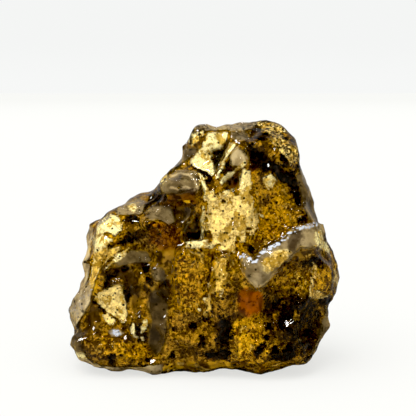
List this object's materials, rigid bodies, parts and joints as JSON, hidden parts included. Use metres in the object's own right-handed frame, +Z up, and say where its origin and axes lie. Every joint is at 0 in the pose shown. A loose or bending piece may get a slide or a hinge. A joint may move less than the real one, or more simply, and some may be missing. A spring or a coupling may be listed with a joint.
{
  "type": "raw copal piece",
  "caption": "Raw lump of copal, a see-through amber-gold tree resin with dark bark specks, chipped on all sides, that rests on its worn underside.",
  "frame": {"origin": "under the middle of the lump, on the surface that it rests on", "axes": "+Z up; +X to the right seen from the front, along the lump's width; -Y is the front"},
  "size_m": [0.048, 0.029, 0.043],
  "materials": {
    "resin": "glossy see-through amber-gold resin, clouded by cracks, bubbles and dark bark specks"
  },
  "bodies": {
    "root": {"copal": "resin"}
  },
  "joints": []
}
